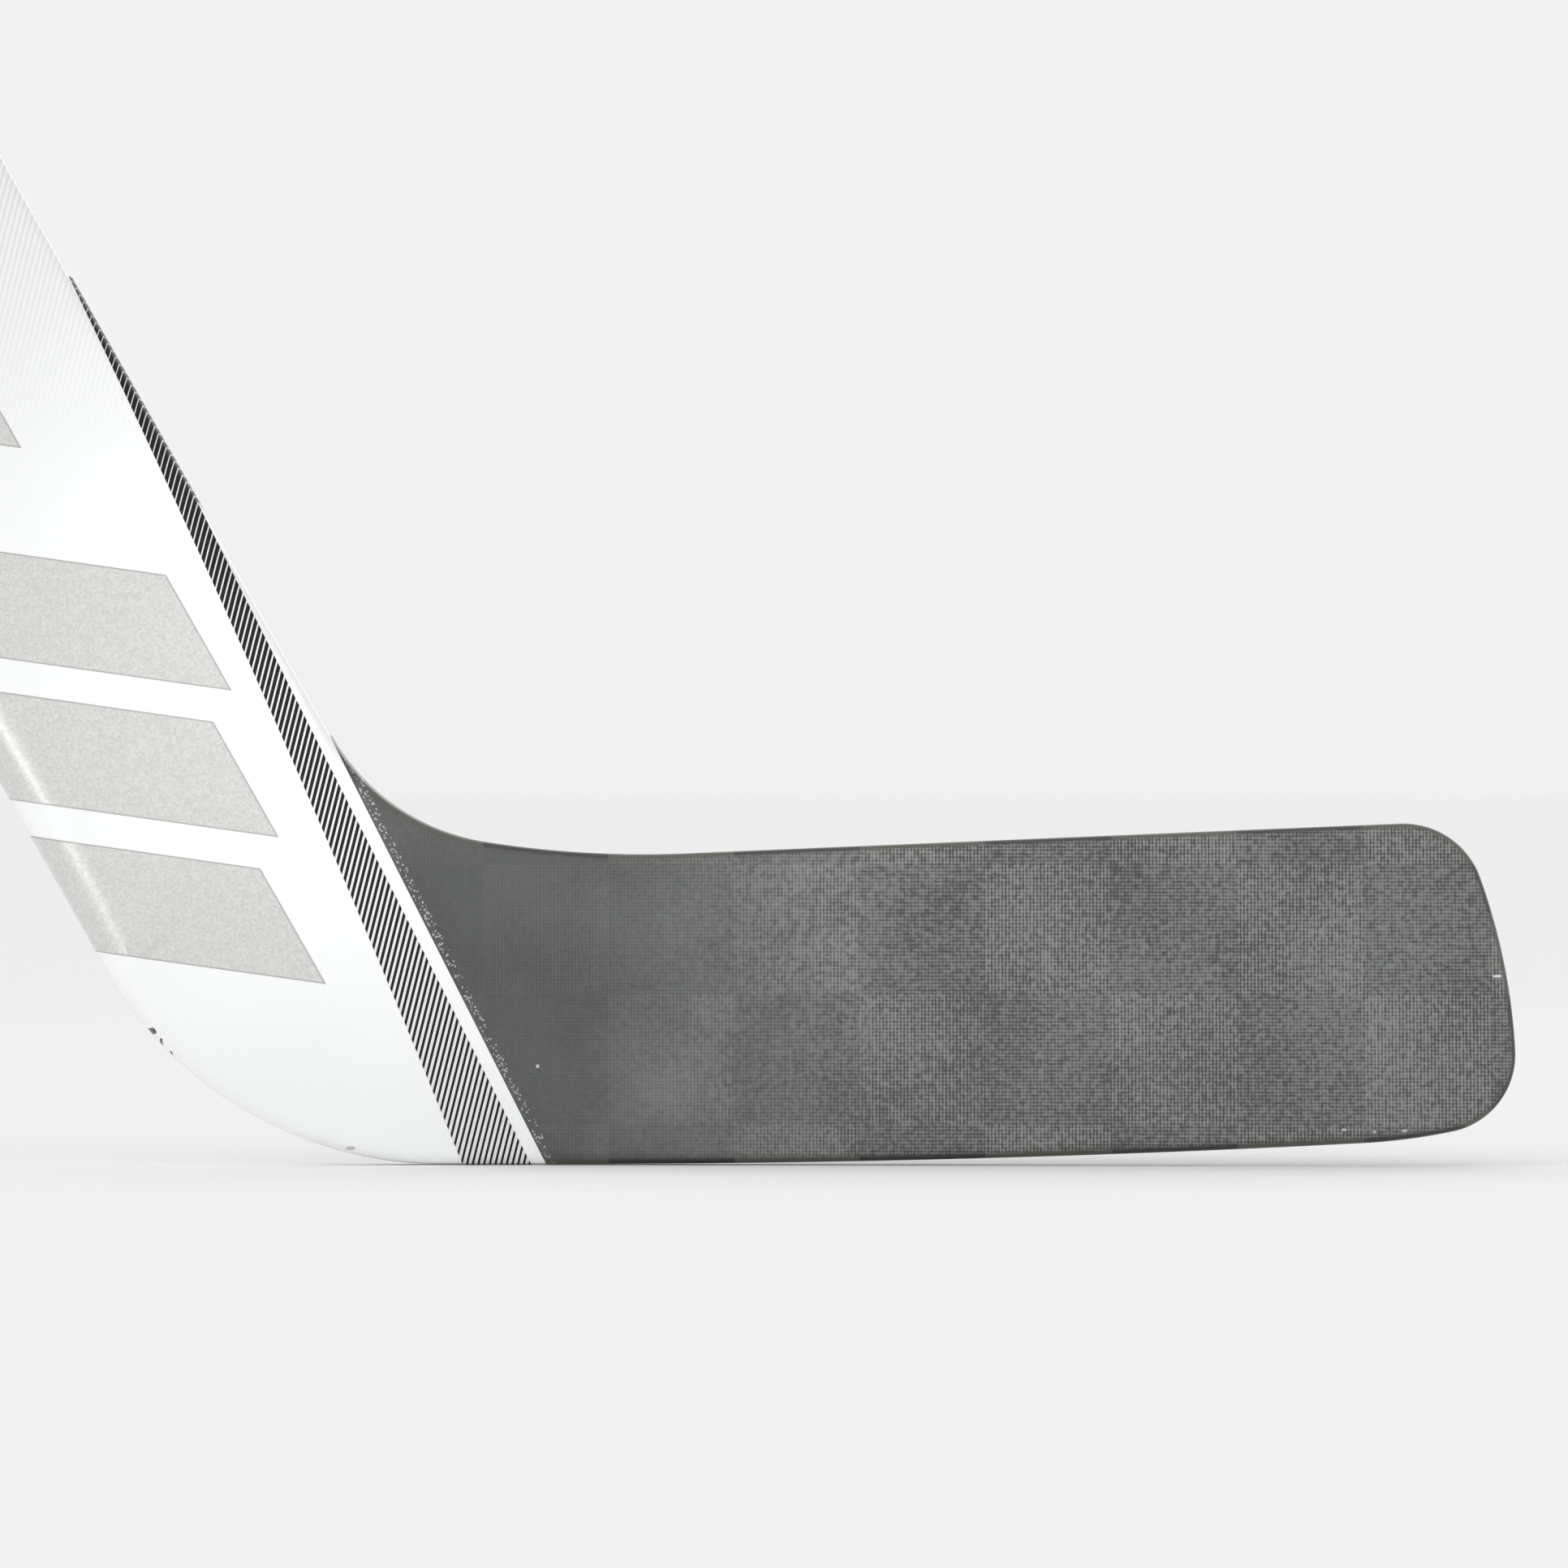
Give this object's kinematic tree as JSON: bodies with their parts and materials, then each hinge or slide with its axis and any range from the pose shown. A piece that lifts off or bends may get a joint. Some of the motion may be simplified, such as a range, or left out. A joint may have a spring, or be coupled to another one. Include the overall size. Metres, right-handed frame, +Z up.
{
  "type": "goalkeeper's ice hockey stick",
  "caption": "Goalkeeper's hockey stick: wide flat paddle leaning back from a curved carbon-weave blade, narrowing at its shoulders to a hollow rectangular shaft.",
  "frame": {"origin": "heel corner: where the line of the paddle's back edge meets the ice, in the middle of the thickness", "axes": "+X from heel to toe, +Z up with the sole on the ice, -Y the forehand face, which the blade curves towards"},
  "size_m": [1.0854, 0.0326, 1.333],
  "materials": {
    "white_lacquer": "gloss white lacquer over a composite laminate",
    "carbon_weave": "satin clear coat over spread-tow carbon weave",
    "stripe_film": "fine slanted black lines on white under clear coat",
    "silver_flake_film": "silver flake lacquer under clear coat",
    "shaft_lacquer": "gloss white lacquer over a composite tube",
    "plug_moulding": "matt black moulding",
    "rigid_foam": "cut closed-cell foam",
    "rib_laminate": "cured carbon laminate",
    "heel_moulding": "moulded composite"
  },
  "bodies": {
    "root": {"paddle_front_skin": "white_lacquer", "paddle_back_skin": "white_lacquer", "blade_front_skin": "carbon_weave", "blade_back_skin": "carbon_weave", "stripe_film_front": "stripe_film", "stripe_film_back": "stripe_film", "panel_film_front": "silver_flake_film", "panel_film_back": "silver_flake_film", "shaft_tube": "shaft_lacquer", "shaft_end_plug": "plug_moulding", "paddle_core_leading": "rigid_foam", "paddle_core_middle": "rigid_foam", "paddle_core_trailing": "rigid_foam", "paddle_rib_leading": "rib_laminate", "paddle_rib_trailing": "rib_laminate", "heel_block": "heel_moulding", "blade_core_upper": "rigid_foam", "blade_core_lower": "rigid_foam", "blade_rib": "rib_laminate"}
  },
  "joints": []
}
